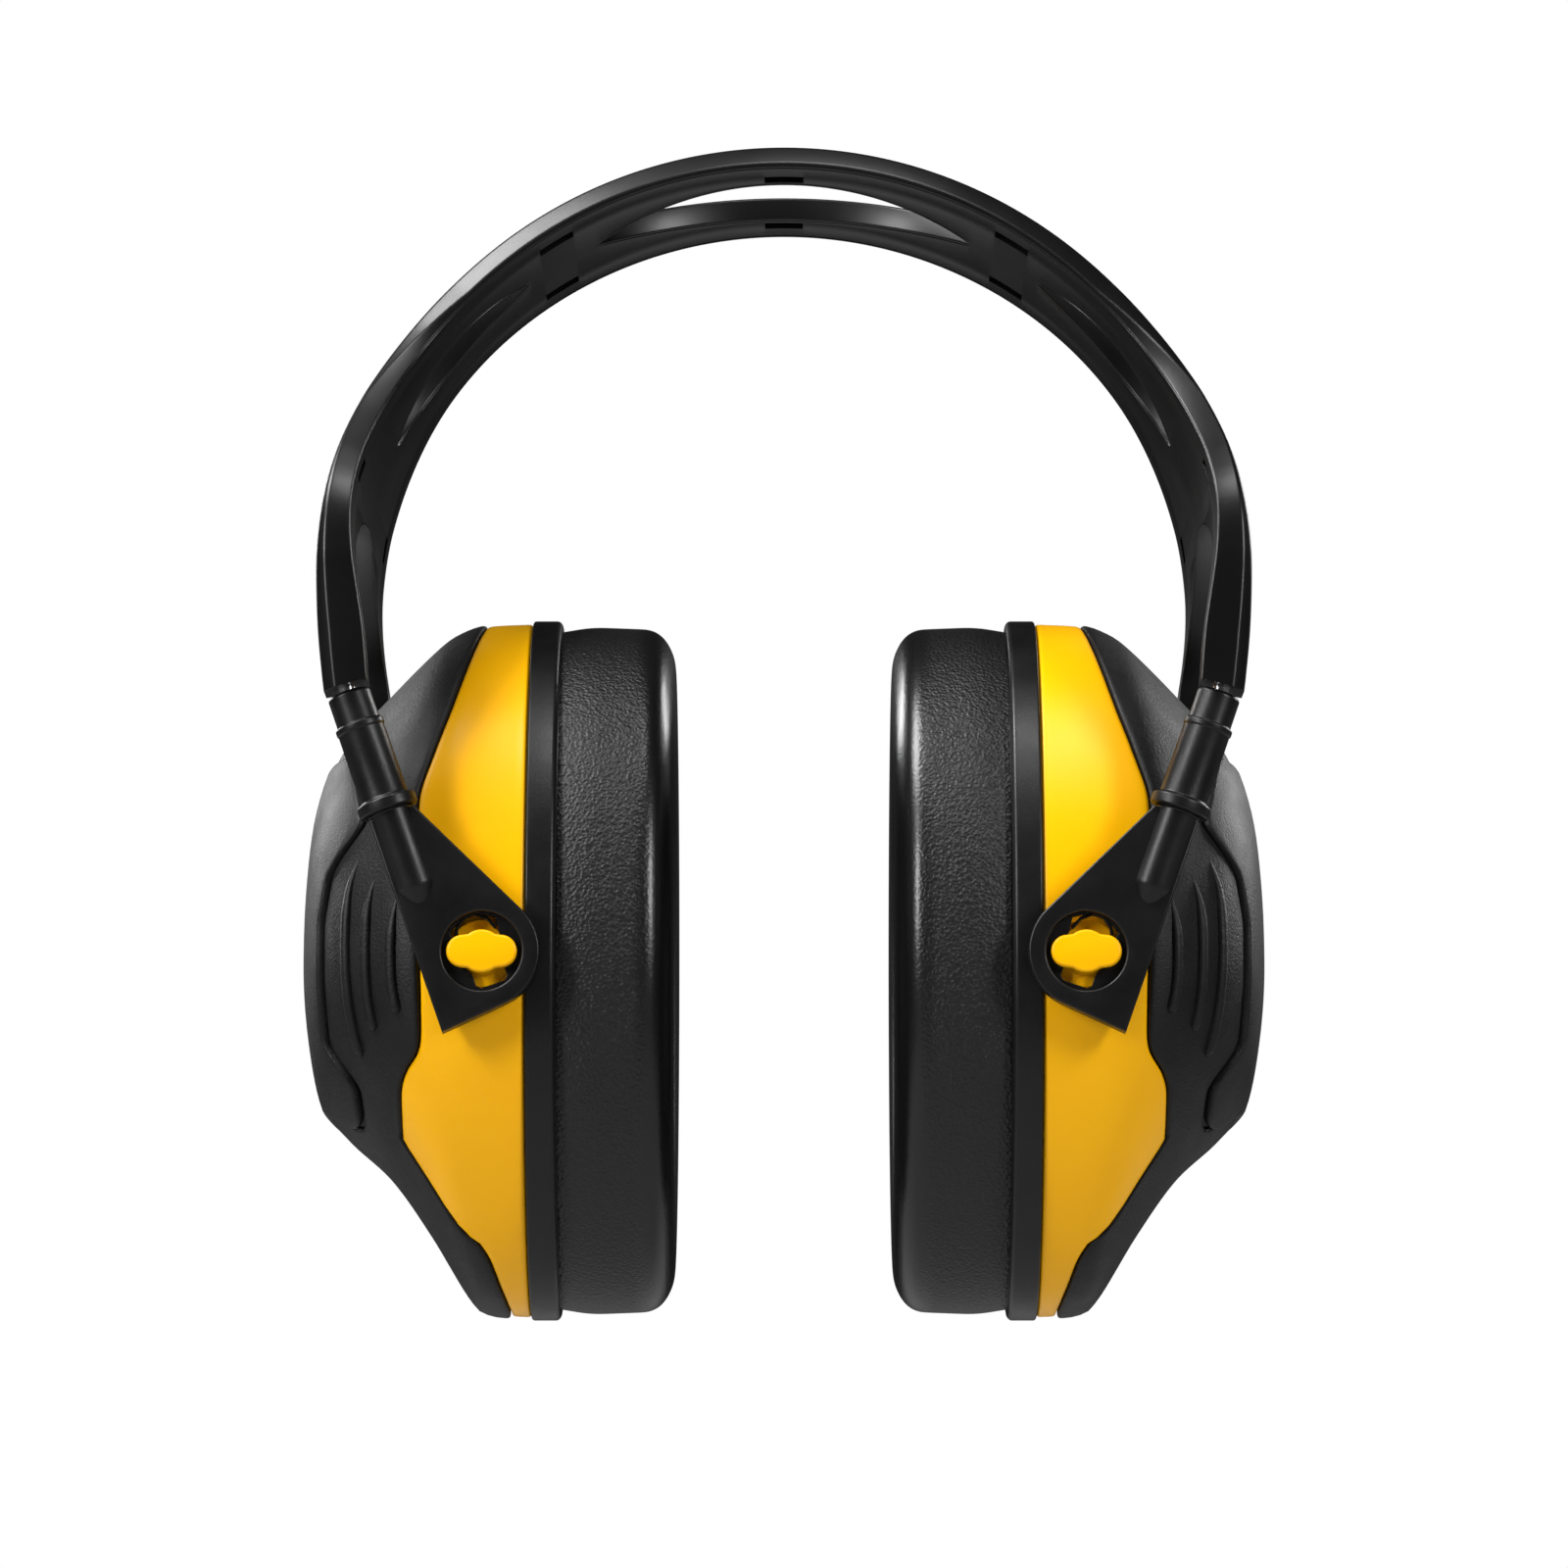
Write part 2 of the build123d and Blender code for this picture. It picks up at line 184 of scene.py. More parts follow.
def drawn_steel():
    """Bright drawn wire, its marks running along it."""
    material = new_material("wire_steel", (0.62, 0.62, 0.64), 0.25, Metallic=1.0)
    vary_roughness(material, 500, 0.18, 0.34)
    add_bump(material, object_noise(material, 1200, 3.0, (1, 1, 0.05)), "Fac", 0.01)
    return material


def open_foam(name, dark, light):
    """Open-cell foam: the pores as darker cells, their dark colour painted shade standing for the shade
    inside them.
    """
    material = new_material(name, light, 0.95)
    coords = add_node(material, "ShaderNodeTexCoord")
    cells = add_node(material, "ShaderNodeTexVoronoi", Scale=900.0)
    link(material, coords, "Object", cells, "Vector")
    # painted shade: the colour darkens towards each cell's centre to stand for the shade inside the pores
    ramp = add_node(material, "ShaderNodeValToRGB")
    ramp.color_ramp.elements[0].position = 0.1
    ramp.color_ramp.elements[0].color = (*dark, 1.0)
    ramp.color_ramp.elements[1].position = 0.5
    ramp.color_ramp.elements[1].color = (*light, 1.0)
    link(material, cells, "Distance", ramp, "Fac")
    link(material, ramp, "Color", material.node_tree.nodes["Principled BSDF"], "Base Color")
    add_bump(material, cells, "Distance", 0.4)
    return material


def leatherette():
    """Pebbled leatherette: grained on the wall, smoother and glossier on the rounded rim."""
    material = new_material("leatherette_black", (0.0035, 0.0035, 0.0037), 0.42, Specular_IOR_Level=0.42)
    shader = material.node_tree.nodes["Principled BSDF"]
    coords = add_node(material, "ShaderNodeTexCoord")
    warp = add_node(material, "ShaderNodeTexNoise", Scale=900.0, Detail=2.0)
    link(material, coords, "Object", warp, "Vector")
    push = add_node(material, "ShaderNodeVectorMath", operation="SCALE", Scale=0.0005)
    link(material, warp, "Color", push, 0)
    moved = add_node(material, "ShaderNodeVectorMath", operation="ADD")
    link(material, coords, "Object", moved, 0)
    link(material, push, "Vector", moved, 1)
    pebbles = add_node(material, "ShaderNodeTexVoronoi", Scale=1900.0, feature="SMOOTH_F1", Smoothness=0.6)
    link(material, moved, "Vector", pebbles, "Vector")
    fine = object_noise(material, 2500, 4.0)
    grain = add_node(material, "ShaderNodeMath", operation="MULTIPLY_ADD")
    grain.inputs[1].default_value = 0.35
    link(material, fine, "Fac", grain, 0)
    link(material, pebbles, "Distance", grain, 2)
    # the rim is the part nearest the head: the grain fades out over a few millimetres there
    split = add_node(material, "ShaderNodeSeparateXYZ")
    link(material, coords, "Object", split, "Vector")
    side = add_node(material, "ShaderNodeMath", operation="ABSOLUTE")
    link(material, split, "X", side, 0)
    rim_start = (SKIN_LOW[0] + 3.5) * MM
    wall_start = (SKIN_LOW[0] + 7.0) * MM
    wall = add_node(
        material, "ShaderNodeMapRange", interpolation_type="SMOOTHSTEP",
        From_Min=rim_start, From_Max=wall_start, To_Min=0.12, To_Max=1.0,
    )
    link(material, side, 0, wall, "Value")
    bump = add_node(material, "ShaderNodeBump", Distance=0.17 * MM)
    link(material, wall, "Result", bump, "Strength")
    link(material, grain, 0, bump, "Height")
    link(material, bump, "Normal", shader, "Normal")
    rough = add_node(
        material, "ShaderNodeMapRange", From_Min=rim_start, From_Max=wall_start, To_Min=0.27, To_Max=0.46,
    )
    link(material, side, 0, rough, "Value")
    link(material, rough, "Result", shader, "Roughness")
    return material


MATERIALS = {
    "black_band": moulded_black(),
    "black_satin": satin_black(),
    "black_overmould": grained_overmould(),
    "yellow_shell": yellow_plastic(),
    "steel_wire": drawn_steel(),
    # the first tone of each foam is the painted shade in its pores, the second its cell walls
    "acoustic_foam": open_foam("liner_foam", (0.012, 0.012, 0.013), (0.06, 0.06, 0.065)),
    "cushion_foam": open_foam("core_foam", (0.2, 0.19, 0.16), (0.5, 0.48, 0.42)),
    "black_leatherette": leatherette(),
}

# ------------------------------------------------------------------ mesh helpers
WELD = 0.002  # points closer together than this are merged


def mirrored(shape, x=False, y=False):
    """A shape's mirror image across the ear-to-ear or the front-to-back middle."""
    points, faces = shape
    turned = [(-p[0] if x else p[0], -p[1] if y else p[1], p[2]) for p in points]
    if x != y:
        faces = [list(reversed(f)) for f in faces]
    return turned, faces


def joined(*shapes):
    """Several shapes as one."""
    points, faces = [], []
    for more_points, more_faces in shapes:
        start = len(points)
        points += more_points
        faces += [[i + start for i in f] for f in more_faces]
    return points, faces


def make_piece(name, shape, body, slot, nodes, sharp, merge=WELD):
    """An object from a shape in millimetres, riding on a body and standing for CAD nodes."""
    points, faces = shape
    mesh = bpy.data.meshes.new(name)
    mesh.from_pydata([[c * MM for c in p] for p in points], [], faces)
    edit = bmesh.new()
    edit.from_mesh(mesh)
    bmesh.ops.remove_doubles(edit, verts=edit.verts, dist=merge * MM)
    bmesh.ops.dissolve_degenerate(edit, edges=edit.edges, dist=1e-7)
    bmesh.ops.recalc_face_normals(edit, faces=edit.faces)
    edit.to_mesh(mesh)
    edit.free()
    mesh.validate()
    mesh.polygons.foreach_set("use_smooth", [True] * len(mesh.polygons))
    mesh.set_sharp_from_angle(angle=radians(sharp))
    piece = bpy.data.objects.new(name, mesh)
    bpy.context.scene.collection.objects.link(piece)
    dress(piece, body, slot)
    if nodes:
        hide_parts(*nodes)
    return piece


def dress(piece, body, slot):
    """Give a piece its material and let it ride on its body."""
    piece.data.materials.clear()
    piece.data.materials.append(MATERIALS[slot])
    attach(piece, body)


def ring_faces(rings, columns, closed=True):
    """Quads between successive rings of points."""
    faces = []
    for row in range(rings - 1):
        for i in range(columns if closed else columns - 1):
            j = (i + 1) % columns
            low, high = row * columns, (row + 1) * columns
            faces.append([low + i, low + j, high + j, high + i])
    return faces


def rounded_corners(corners, steps=4):
    """A polyline whose corners, given as (x, y, radius), are rounded with the same number of points each."""
    points = []
    for i, (x, y, radius) in enumerate(corners):
        corner = Vector((x, y))
        if i in (0, len(corners) - 1) or radius <= 0:
            points += [corner] * (1 if i in (0, len(corners) - 1) else steps + 1)
            continue
        before = Vector(corners[i - 1][:2]) - corner
        after = Vector(corners[i + 1][:2]) - corner
        if before.length < 1e-6 or after.length < 1e-6:
            points += [corner] * (steps + 1)
            continue
        reach = min(radius, before.length * 0.49, after.length * 0.49)
        start = corner + before.normalized() * reach
        end = corner + after.normalized() * reach
        for k in range(steps + 1):
            t = k / steps
            points.append(start * (1 - t) ** 2 + corner * 2 * t * (1 - t) + end * t**2)
    return points


def smooth_through(points, t):
    """Catmull-Rom interpolation through evenly numbered points, t from 0 to 1."""
    last = len(points) - 1
    at = min(max(t, 0.0), 1.0) * last
    i = min(int(at), last - 1)
    f = at - i
    p1, p2 = Vector(points[i]), Vector(points[i + 1])
    p0 = Vector(points[i - 1]) if i else p1 * 2 - p2
    p3 = Vector(points[i + 2]) if i + 2 <= last else p2 * 2 - p1
    curve = p1 * 2 + (p2 - p0) * f + (p0 * 2 - p1 * 5 + p2 * 4 - p3) * f * f
    return (curve + (p1 * 3 - p0 - p2 * 3 + p3) * f**3) / 2


def straight_through(points, x):
    """Linear interpolation in a list of (x, y) points, flat beyond its ends."""
    if x <= points[0][0]:
        return points[0][1]
    for (x0, y0), (x1, y1) in zip(points, points[1:]):
        if x <= x1:
            return y0 + (y1 - y0) * (x - x0) / (x1 - x0)
    return points[-1][1]


def curve_through(points, x):
    """Smooth interpolation in a list of (x, y) points, flat beyond its ends."""
    if x <= points[0][0]:
        return points[0][1]
    for i in range(len(points) - 1):
        (x0, y0), (x1, y1) = points[i], points[i + 1]
        if x > x1:
            continue
        before, after = points[max(i - 1, 0)], points[min(i + 2, len(points) - 1)]
        step = x1 - x0
        leave = (y1 - before[1]) / (x1 - before[0]) * step
        arrive = (after[1] - y0) / (after[0] - x0) * step
        t = (x - x0) / step
        bend = (2 * y0 - 2 * y1 + leave + arrive) * t**3 + (3 * y1 - 3 * y0 - 2 * leave - arrive) * t**2
        return bend + leave * t + y0
    return points[-1][1]


# ------------------------------------------------------------------ cups
COLUMNS = 360
DOME_DEPTH = SHELL_HIGH[0] - RIM_X + 1.2
# The dome's outline from the rim to its outer middle: (depth from the rim, reach from the middle)
DOME_TOP = [
    (0.0, 55.0), (7.0, 54.6), (11.0, 53.3), (14.4, 50.9), (21.5, 43.8),
    (29.2, 35.1), (33.0, 25.6), (34.6, 14.0), (DOME_DEPTH, 0.0),
]
DOME_SIDE = [
    (0.0, 42.0), (7.0, 41.8), (13.0, 41.2), (18.8, 39.7), (23.8, 35.8),
    (28.6, 31.0), (32.3, 24.0), (34.4, 13.0), (DOME_DEPTH, 0.0),
]
DOME_BOTTOM = [
    (0.0, 55.0), (6.5, 54.4), (9.6, 51.8), (15.6, 42.0), (21.8, 33.3),
    (28.4, 27.2), (32.1, 22.2), (34.2, 12.0), (DOME_DEPTH, 0.0),
]
# The overmould's edge in the side view: (height from the cup's middle, depth from the rim)
OVERMOULD_EDGE = [
    (-56.0, 2.5), (-47.2, 6.0), (-43.2, 9.2), (-36.4, 15.4), (-32.4, 18.6), (-30.6, 19.3),
    (-22.6, 19.3), (-20.6, 18.6), (-17.4, 16.2), (-15.0, 15.8), (22.5, 16.6), (38.0, 11.6), (54.7, 7.0),
]
# The raised outer panel in the side view: (depth, height)
PANEL = [
    (60.0, 29.6), (32.2, 30.3), (27.6, 31.0), (25.1, 20.3), (25.1, 17.6), (30.2, 12.3), (31.6, 3.9),
    (31.6, -4.9), (31.0, -13.8), (30.2, -15.6), (26.4, -20.7), (25.9, -25.6), (26.8, -26.6),
    (34.5, -20.9), (60.0, -18.0),
]
PROFILE_STEPS = 400


def dome_point(angle, along):
    """A point of the cup's outside; angle 0 is the front and a quarter turn the top."""
    upright = DOME_TOP if sin(angle) > 0 else DOME_BOTTOM
    vertical = smooth_through(upright, along)
    sideways = smooth_through(DOME_SIDE, along)
    weight = sin(angle) ** 2
    depth = sideways.x * (1 - weight) + vertical.x * weight
    return Vector((RIM_X + depth, -cos(angle) * sideways.y, CUP_Z + sin(angle) * vertical.y))


def meridian(angle):
    """The dome's line from rim to middle: its points, how far along each is, and their normals."""
    points = [dome_point(angle, k / PROFILE_STEPS) for k in range(PROFILE_STEPS + 1)]
    beside = [dome_point(angle + 0.01, k / PROFILE_STEPS) for k in range(PROFILE_STEPS + 1)]
    lengths, normals = [0.0], []
    for k in range(PROFILE_STEPS):
        lengths.append(lengths[-1] + (points[k + 1] - points[k]).length)
    for k in range(PROFILE_STEPS + 1):
        before, after = points[max(k - 1, 0)], points[min(k + 1, PROFILE_STEPS)]
        normal = (after - before).cross(beside[k] - points[k])
        if normal.length < 1e-9:
            normal = Vector((1, 0, 0))
        normals.append(-normal.normalized() if normal.x < 0 else normal.normalized())
    normals[-1] = Vector((1, 0, 0))
    return points, lengths, normals


def on_meridian(line, length, offset):
    """The point at a length along a meridian, moved out along its normal."""
    points, lengths, normals = line
    length = min(max(length, 0.0), lengths[-1])
    low, high = 0, PROFILE_STEPS
    while high - low > 1:
        middle = (low + high) // 2
        low, high = (middle, high) if lengths[middle] <= length else (low, middle)
    f = (length - lengths[low]) / max(lengths[high] - lengths[low], 1e-9)
    normal = (normals[low] * (1 - f) + normals[high] * f).normalized()
    return points[low] * (1 - f) + points[high] * f + normal * offset


def inside(polygon, x, y):
    """True if a point lies in a polygon."""
    within = False
    for (x0, y0), (x1, y1) in zip(polygon, polygon[1:] + polygon[:1]):
        if (y0 > y) != (y1 > y) and x < (x1 - x0) * (y - y0) / (y1 - y0) + x0:
            within = not within
    return within


def circular_mean(values, reach):
    """Each value averaged with its neighbours round a ring."""
    count, window = len(values), range(-reach, reach + 1)
    return [sum(values[(i + k) % count] for k in window) / (2 * reach + 1) for i in range(count)]


ANGLES = [2 * pi * i / COLUMNS for i in range(COLUMNS)]
MERIDIANS = [meridian(a) for a in ANGLES]


def edge_lengths(is_beyond, from_middle):
    """Along each meridian, where a test on the side view first holds, refined and smoothed round corners."""
    found = []
    for points, lengths, _ in MERIDIANS:
        steps = range(PROFILE_STEPS, -1, -1) if from_middle else range(PROFILE_STEPS + 1)
        hit = next(k for k in steps if is_beyond(points[k].x - RIM_X, points[k].z - CUP_Z))
        found.append(lengths[hit])
    return circular_mean(circular_mean(found, 2), 1)


MOULD_AT = edge_lengths(lambda depth, height: depth >= straight_through(OVERMOULD_EDGE, height), False)
PANEL_AT = edge_lengths(lambda depth, height: not inside(PANEL, depth, height), True)
MIDDLE_AT = [line[1][-1] for line in MERIDIANS]


def dome_piece(rows):
    """A closed shape from rows of (lengths, offset) that start and end at the outer middle."""
    points = []
    for lengths, offset in rows:
        for line, length in zip(MERIDIANS, lengths):
            points.append(tuple(on_meridian(line, length, offset)))
    faces = ring_faces(len(rows), COLUMNS)
    for row, offset in ((0, rows[0][1]), (len(rows) - 1, rows[-1][1])):
        points.append((RIM_X + DOME_DEPTH + offset, 0, CUP_Z))
        start = row * COLUMNS
        for i in range(COLUMNS):
            faces.append([start + i, start + (i + 1) % COLUMNS, len(points) - 1])
    return points, faces


def shifted(lengths, distance):
    """Lengths moved along every meridian."""
    return [length + distance for length in lengths]


def between(start, end, fraction):
    """Lengths part of the way from one edge to another."""
    return [a + (b - a) * fraction for a, b in zip(start, end)]


RIM_AT = [0.0] * COLUMNS
NEAR_MIDDLE = 0.985
SHELL_UNDER = -1.3  # the shell's surface below the overmould
EDGE_ROUND = [(0.0, -0.75), (0.12, -0.25), (0.35, -0.06), (0.8, 0.0)]  # (in from an edge, drop)


def shell_shape():
    """The yellow shell: its bare part, the step under the overmould, and its inside wall."""
    rows = []
    near_middle = between(RIM_AT, MIDDLE_AT, NEAR_MIDDLE)
    for k in range(12, 0, -1):
        rows.append((between(shifted(MOULD_AT, 1.5), near_middle, k / 12), SHELL_UNDER))
    rows.append((shifted(MOULD_AT, 0.3), SHELL_UNDER))
    rows += [(shifted(MOULD_AT, -inset), drop - 0.1) for inset, drop in EDGE_ROUND]
    for k in range(1, 14):
        rows.append((between(shifted(MOULD_AT, -0.8), shifted(RIM_AT, 0.8), k / 14), -0.1))
    rows += [(shifted(RIM_AT, inset), drop - 0.1) for inset, drop in reversed(EDGE_ROUND)]
    rows.append((RIM_AT, -2.9))
    for k in range(1, 20):
        rows.append((between(RIM_AT, between(RIM_AT, MIDDLE_AT, NEAR_MIDDLE), k / 19), -3.2))
    return dome_piece(rows)


def overmould_shape():
    """The black overmould, raised a little over the yellow, with a groove round the outer panel."""
    groove = 0.75
    rows = []
    for k in range(6, 0, -1):
        rows.append((between(PANEL_AT, between(RIM_AT, MIDDLE_AT, NEAR_MIDDLE), k / 6), -0.3))
    rows.append((shifted(PANEL_AT, 0.1), -0.55))
    rows.append((shifted(PANEL_AT, -groove), -0.55))
    rows += [(shifted(PANEL_AT, -groove - inset), drop * 0.7 + 0.25) for inset, drop in EDGE_ROUND]
    for k in range(1, 30):
        rows.append((between(shifted(PANEL_AT, -groove - 0.8), shifted(MOULD_AT, 1.0), k / 30), 0.25))
    rows += [(shifted(MOULD_AT, inset + 0.2), drop + 0.25) for inset, drop in reversed(EDGE_ROUND)]
    rows.append((shifted(MOULD_AT, 0.25), -1.25))
    for k in range(1, 13):
        rows.append((between(MOULD_AT, between(RIM_AT, MIDDLE_AT, NEAR_MIDDLE), k / 12), -1.25))
    return dome_piece(rows)


def panel_shape():
    """The raised outer panel with a rounded edge."""
    height = 0.95
    rows = []
    for k in range(14, 0, -1):
        near_middle = between(RIM_AT, MIDDLE_AT, NEAR_MIDDLE)
        rows.append((between(shifted(PANEL_AT, 0.8), near_middle, k / 14), height))
    rows += [(shifted(PANEL_AT, inset), drop * 1.3 + height) for inset, drop in reversed(EDGE_ROUND)]
    rows.append((PANEL_AT, -0.5))
    for k in range(1, 7):
        rows.append((between(PANEL_AT, between(RIM_AT, MIDDLE_AT, NEAR_MIDDLE), k / 6), -0.28))
    return dome_piece(rows)


# The ribs in the side view, from their upper to their lower tips: (depth, height)
RIBS = [
    [(25.8, 12.9), (27.1, 8.0), (27.5, 1.0), (27.3, -6.0), (26.5, -12.0), (25.2, -17.0)],
    [(23.2, 9.3), (24.1, 4.5), (24.3, -2.0), (24.0, -8.0), (23.0, -13.6)],
    [(19.6, 6.0), (20.2, 1.5), (20.3, -2.8), (20.1, -7.0), (19.3, -11.4)],
]
RIB_HALF_WIDTH = 0.95
RIB_HEIGHT = 0.85


def front_of_dome(depth, height):
    """The point and normal on the cup's front whose side view is (depth, height)."""
    low, high = -pi / 2 + 0.02, pi / 2 - 0.02
    for _ in range(40):
        angle = (low + high) / 2
        lower, upper = 0.0, 1.0
        for _ in range(30):
            along = (lower + upper) / 2
            point = dome_point(angle, along)
            lower, upper = (along, upper) if point.x - RIM_X < depth else (lower, along)
        low, high = (angle, high) if point.z - CUP_Z < height else (low, angle)
    across = dome_point(angle + 0.01, along) - point
    onwards = dome_point(angle, along + 0.003) - point
    normal = onwards.cross(across).normalized()
    return point, -normal if normal.y > 0 else normal


def rib_shape(route):
    """One raised rib that swells from its tips, sunk slightly into the overmould."""
    steps, across = 40, 8
    spine = [front_of_dome(*smooth_through([Vector(p) for p in route], k / steps)) for k in range(steps + 1)]
    points = []
    for k, (point, normal) in enumerate(spine):
        before, after = spine[max(k - 1, 0)][0], spine[min(k + 1, steps)][0]
        side = (after - before).cross(normal).normalized()
        along = k / steps
        swell = min(1.0, along / 0.3) ** 0.8 * sqrt(1 - max((along - 0.93) / 0.07, 0.0) ** 2)
        half = RIB_HALF_WIDTH * (0.15 + 0.85 * swell)
        for i in range(across + 1):
            turn = pi * i / across
            rise = 0.25 + RIB_HEIGHT * swell * sin(turn) ** 0.8 if 0 < i < across else -0.3
            points.append(tuple(point + side * half * cos(turn) + normal * rise))
    count = across + 1
    faces = ring_faces(steps + 1, count, closed=False)
    faces += [[k * count, (k + 1) * count, (k + 2) * count - 1, (k + 1) * count - 1] for k in range(steps)]
    faces += [list(range(count)), list(range(steps * count, (steps + 1) * count))[::-1]]
    return points, faces


def oval_sweep(profile, columns=180):
    """A closed ring from a closed profile of (x, inset) points, the inset from the ring's outer oval."""
    points = []
    for x, inset in profile:
        half_y, half_z = RING_HALF[0] - inset, RING_HALF[1] - inset
        for i in range(columns):
            angle = 2 * pi * i / columns
            points.append((x, -half_y * cos(angle), CUP_Z + half_z * sin(angle)))
    faces = ring_faces(len(profile), columns)
    last = (len(profile) - 1) * columns
    faces += [[last + i, last + (i + 1) % columns, (i + 1) % columns, i] for i in range(columns)]
    return points, faces


RING_WALL = 14.2  # from the base ring's outside to its hole


def ring_shape():
    """The base ring: a plain flat band with softened edges."""
    low, high = RING_LOW[0], RING_HIGH[0]
    wall = RING_WALL
    corners = [
        (high - 0.1, wall, 0), (high - 0.1, 0.25, 0.3), (high - 0.35, 0.0, 0.3), (low + 0.5, 0.0, 0.5),
        (low, 0.6, 0.3), (low, wall - 0.2, 0.2), (low + 0.3, wall, 0),
    ]
    return oval_sweep([(p.x, p.y) for p in rounded_corners(corners)])


def build_cups():
    """Both cups' hard pieces."""
    ribs = joined(*[rib_shape(route) for route in RIBS])
    ribs = joined(ribs, mirrored(ribs, y=True))
    shapes = {
        "cup_shell": ("yellow_shell", shell_shape(), 40.0),
        "overmould": ("black_overmould", overmould_shape(), 40.0),
        "outer_panel": ("black_overmould", panel_shape(), 40.0),
        "base_ring": ("black_satin", ring_shape(), 40.0),
    }
    for side in ("right", "left"):
        for node, (slot, shape, sharp) in shapes.items():
            shape = mirrored(shape, x=True) if side == "left" else shape
            make_piece(f"{side}_{node}_visual", shape, f"{side}_cup", slot, [f"{side}_{node}"], sharp)
        shape = mirrored(ribs, x=True) if side == "left" else ribs
        make_piece(f"{side}_ribs", shape, f"{side}_cup", "black_overmould", (), 50.0)


# ------------------------------------------------------------------ cushions
CUSHION_COLUMNS = 160
CUSHION_STEP = 1.6
CLOTH_FRAMES = 20
SWELL_CAP = 1.3 * MM
SKIN_SLACK = 0.5  # how much smaller the skin is before it swells
NO_SHARP_EDGES = 180.0
EAR_HOLE_HALF_WIDTH = 21.0


def resampled(points, step):
    """A polyline's points spaced evenly, with its ends kept."""
    points = [p for i, p in enumerate(points) if not i or (p - points[i - 1]).length > 1e-6]
    spaced = [points[0]]
    for start, end in zip(points, points[1:]):
        count = max(round((end - start).length / step), 1)
        spaced += [start.lerp(end, k / count) for k in range(1, count + 1)]
    return spaced


def cushion_shape():
    """The cushion's skin before it is inflated: it wraps the backing's edge and has a rounded rim."""
    face, back = SKIN_LOW[0], SKIN_HIGH[0]
    wrap = RING_LOW[0] - 0.15
    edge = RING_HALF[0] - SKIN_HIGH[1]
    hole = RING_HALF[0] - EAR_HOLE_HALF_WIDTH
    under = edge + 1.05
    corners = [
        (back, under, 0), (wrap, under, 0.1), (wrap, edge + 0.9, 0.5), (wrap - 4.5, edge + 0.15, 9.0),
        (face + 3.2, edge + 0.55, 6.0), (face + SKIN_SLACK, edge + 4.8, 7.0),
        (face + SKIN_SLACK, hole - SKIN_SLACK, 5.5), (back, hole - SKIN_SLACK, 0.3), (back, under + 0.3, 0),
    ]
    profile = resampled(rounded_corners(corners, 6), CUSHION_STEP)
    return oval_sweep([(p.x, p.y) for p in profile], CUSHION_COLUMNS)


def inflate(piece, side):
    """Swell the skin under pressure, held where it meets the backing, and cap how far it moves."""
    rest = [v.co.copy() for v in piece.data.vertices]
    held = piece.vertex_groups.new(name="held")
    edge = (SKIN_HIGH[0] - 0.6) * MM
    held.add([i for i, point in enumerate(rest) if side * point.x > edge], 1.0, "REPLACE")
    cloth = piece.modifiers.new("inflate", "CLOTH")
    cloth.settings.vertex_group_mass = held.name
    cloth.settings.use_pressure = True
    cloth.settings.uniform_pressure_force = 4.0
    cloth.settings.effector_weights.gravity = 0.0
    cloth.settings.tension_stiffness = 20.0
    cloth.settings.compression_stiffness = 20.0
    cloth.settings.bending_stiffness = 1.0
    scene = bpy.context.scene
    for number in range(1, CLOTH_FRAMES + 1):
        scene.frame_set(number)
    posed = piece.evaluated_get(bpy.context.evaluated_depsgraph_get())
    swollen = [v.co.copy() for v in posed.data.vertices]
    piece.modifiers.remove(cloth)
    piece.vertex_groups.remove(held)
    scene.frame_set(1)
    for vertex, start, end in zip(piece.data.vertices, rest, swollen):
        move = end - start
        if move.length > SWELL_CAP:
            move = move.normalized() * SWELL_CAP
        vertex.co = start + move


def build_cushions():
    """The padded leatherette rings: inflated as cloth, then subdivided."""
    for side, sign in (("right", 1), ("left", -1)):
        shape = cushion_shape()
        if side == "left":
            shape = mirrored(shape, x=True)
        name, body = f"{side}_cushion_visual", f"{side}_cup"
        nodes = [f"{side}_cushion_skin", f"{side}_cushion_foam"]
        piece = make_piece(name, shape, body, "black_leatherette", nodes, NO_SHARP_EDGES)
        inflate(piece, sign)
        finish = piece.modifiers.new("round", "SUBSURF")
        finish.levels = 1
        finish.render_levels = 1
        with bpy.context.temp_override(object=piece, active_object=piece):
            bpy.ops.object.modifier_apply(modifier=finish.name)
        piece.data.polygons.foreach_set("use_smooth", [True] * len(piece.data.polygons))


# ------------------------------------------------------------------ arms and studs
ARM_TILT = radians(19.3)
ROD_OFFSET = 6.3
ROD_Y = 44.4
PLATE_IN = 43.0
PLATE_OUT = 46.4
WEB_OUT = 44.4
PLATE_R = 8.8
HOLE_R = 6.1


def arm_to_world(outwards, up, y):
    """From the arm's own axes, about the pivot, to the front right arm's place."""
    x = PIVOT_X + outwards * cos(ARM_TILT) + up * sin(ARM_TILT)
    z = PIVOT_Z - outwards * sin(ARM_TILT) + up * cos(ARM_TILT)
    return x, -y, z


def stud_to_world(across, up, y):
    """From the stud's upright axes, about the pivot, to the front right stud's place."""
    return PIVOT_X + across, -y, PIVOT_Z + up


def arc(center, radius, start, end, count):
    """Points along an arc, its angles in degrees."""
    turns = [radians(start + (end - start) * k / count) for k in range(count + 1)]
    return [(center[0] + radius * cos(t), center[1] + radius * sin(t)) for t in turns]


